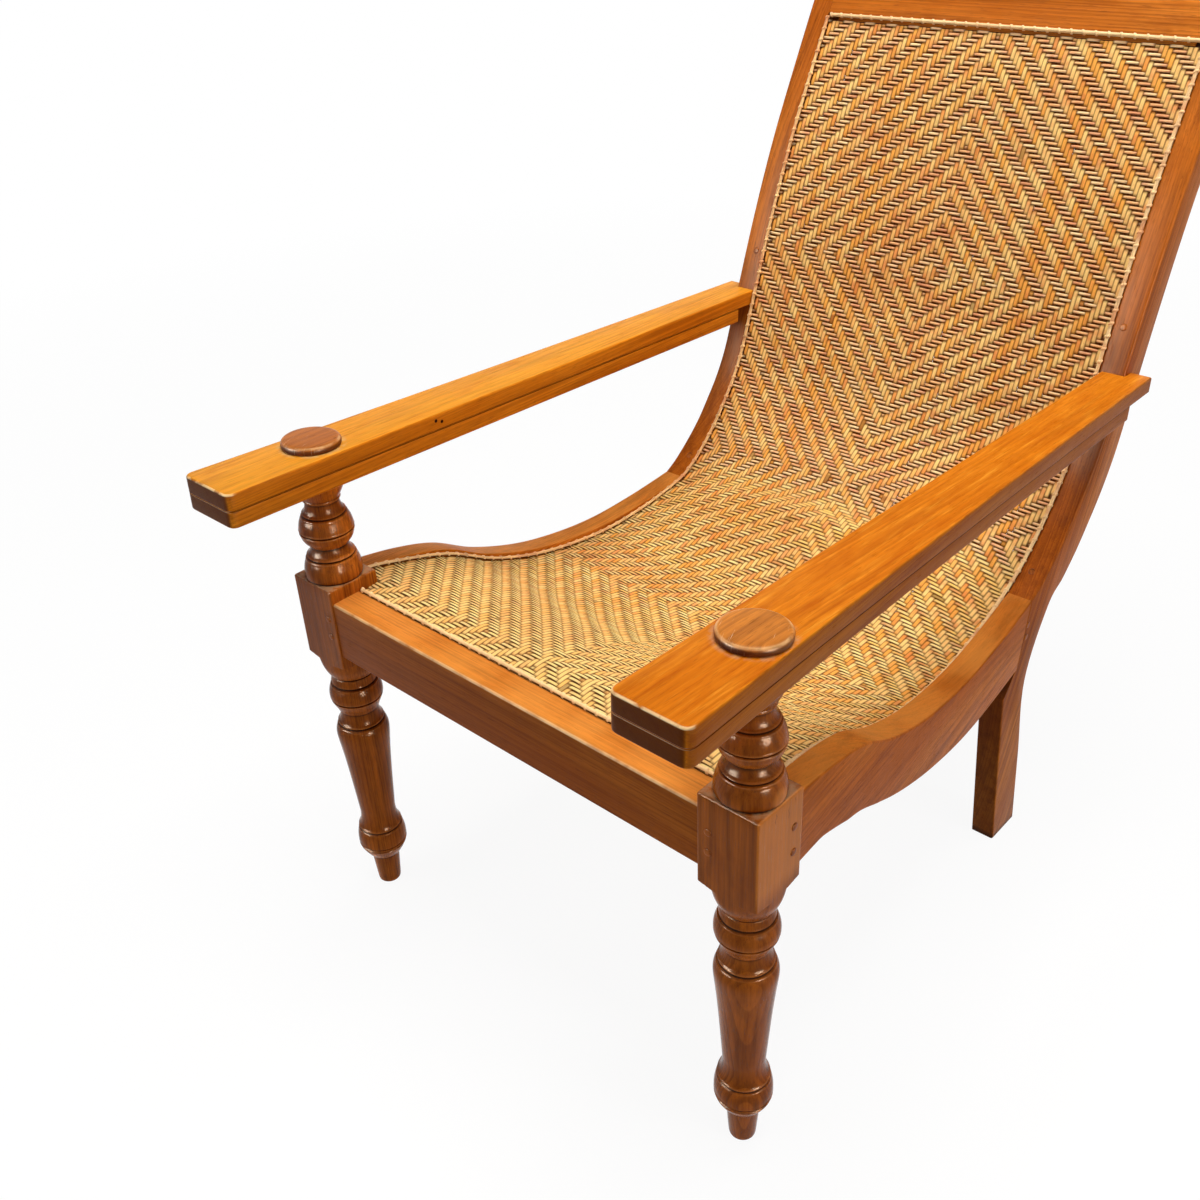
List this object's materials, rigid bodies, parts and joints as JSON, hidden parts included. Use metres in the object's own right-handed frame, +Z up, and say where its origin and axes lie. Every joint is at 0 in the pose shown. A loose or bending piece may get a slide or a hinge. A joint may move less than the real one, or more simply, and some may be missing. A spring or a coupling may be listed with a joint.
{
  "type": "planters chair",
  "caption": "Low wooden lounge armchair with a raked woven cane seat and back, turned front legs, and leg rests that swing out from under long flat arms.",
  "frame": {"origin": "on the floor, under the middle of the chair's bounding box, with both leg rests folded under the arms", "axes": "+X to the right as seen from in front of the chair, +Y to its rear, +Z up; the chair faces -Y"},
  "size_m": [0.651, 1.0612, 0.9845],
  "materials": {
    "arm_wood": "satin polish, straight grain, worn pale along the edges",
    "frame_wood": "satin polish, straight grain",
    "turned_wood": "glossy dark polish",
    "peg_wood": "end grain, satin",
    "cane": "woven golden cane, low sheen",
    "binder_cane": "round cane, pinkish brown, low sheen"
  },
  "bodies": {
    "frame": {"front_post_right": "turned_wood", "front_post_left": "turned_wood", "front_rail": "frame_wood", "side_rail_right": "frame_wood", "side_rail_left": "frame_wood", "rear_post_right": "frame_wood", "rear_post_left": "frame_wood", "crest_rail": "frame_wood", "middle_rail": "frame_wood", "rear_rail": "frame_wood", "cane_panel": "cane", "binder_right": "binder_cane", "binder_left": "binder_cane", "binder_front": "binder_cane", "binder_top": "binder_cane", "arm_right": "arm_wood", "arm_left": "arm_wood", "arm_cap_right": "turned_wood", "arm_cap_left": "turned_wood", "peg_front_rail_1_right": "peg_wood", "peg_front_rail_1_left": "peg_wood", "peg_front_rail_2_right": "peg_wood", "peg_front_rail_2_left": "peg_wood", "peg_side_rail_1_right": "peg_wood", "peg_side_rail_1_left": "peg_wood", "peg_side_rail_2_right": "peg_wood", "peg_side_rail_2_left": "peg_wood", "peg_rail_end_1_right": "peg_wood", "peg_rail_end_1_left": "peg_wood", "peg_rail_end_2_right": "peg_wood", "peg_rail_end_2_left": "peg_wood", "peg_rear_rail_right": "peg_wood", "peg_rear_rail_left": "peg_wood", "peg_middle_rail_right": "peg_wood", "peg_middle_rail_left": "peg_wood", "peg_crest_rail_right": "peg_wood", "peg_crest_rail_left": "peg_wood"},
    "leg_rest_right": {"leg_rest_right": "arm_wood"},
    "leg_rest_left": {"leg_rest_left": "arm_wood"}
  },
  "joints": [
    {"name": "leg_rest_right_swing", "type": "hinge", "parent": "frame", "child": "leg_rest_right", "pos_m": [0.286, -0.40199, 0.58702], "axis": [0, -0.035, -0.9994], "range_deg": [0, 180]},
    {"name": "leg_rest_left_swing", "type": "hinge", "parent": "frame", "child": "leg_rest_left", "pos_m": [-0.286, -0.40199, 0.58702], "axis": [0, 0.035, 0.9994], "range_deg": [0, 180]}
  ]
}
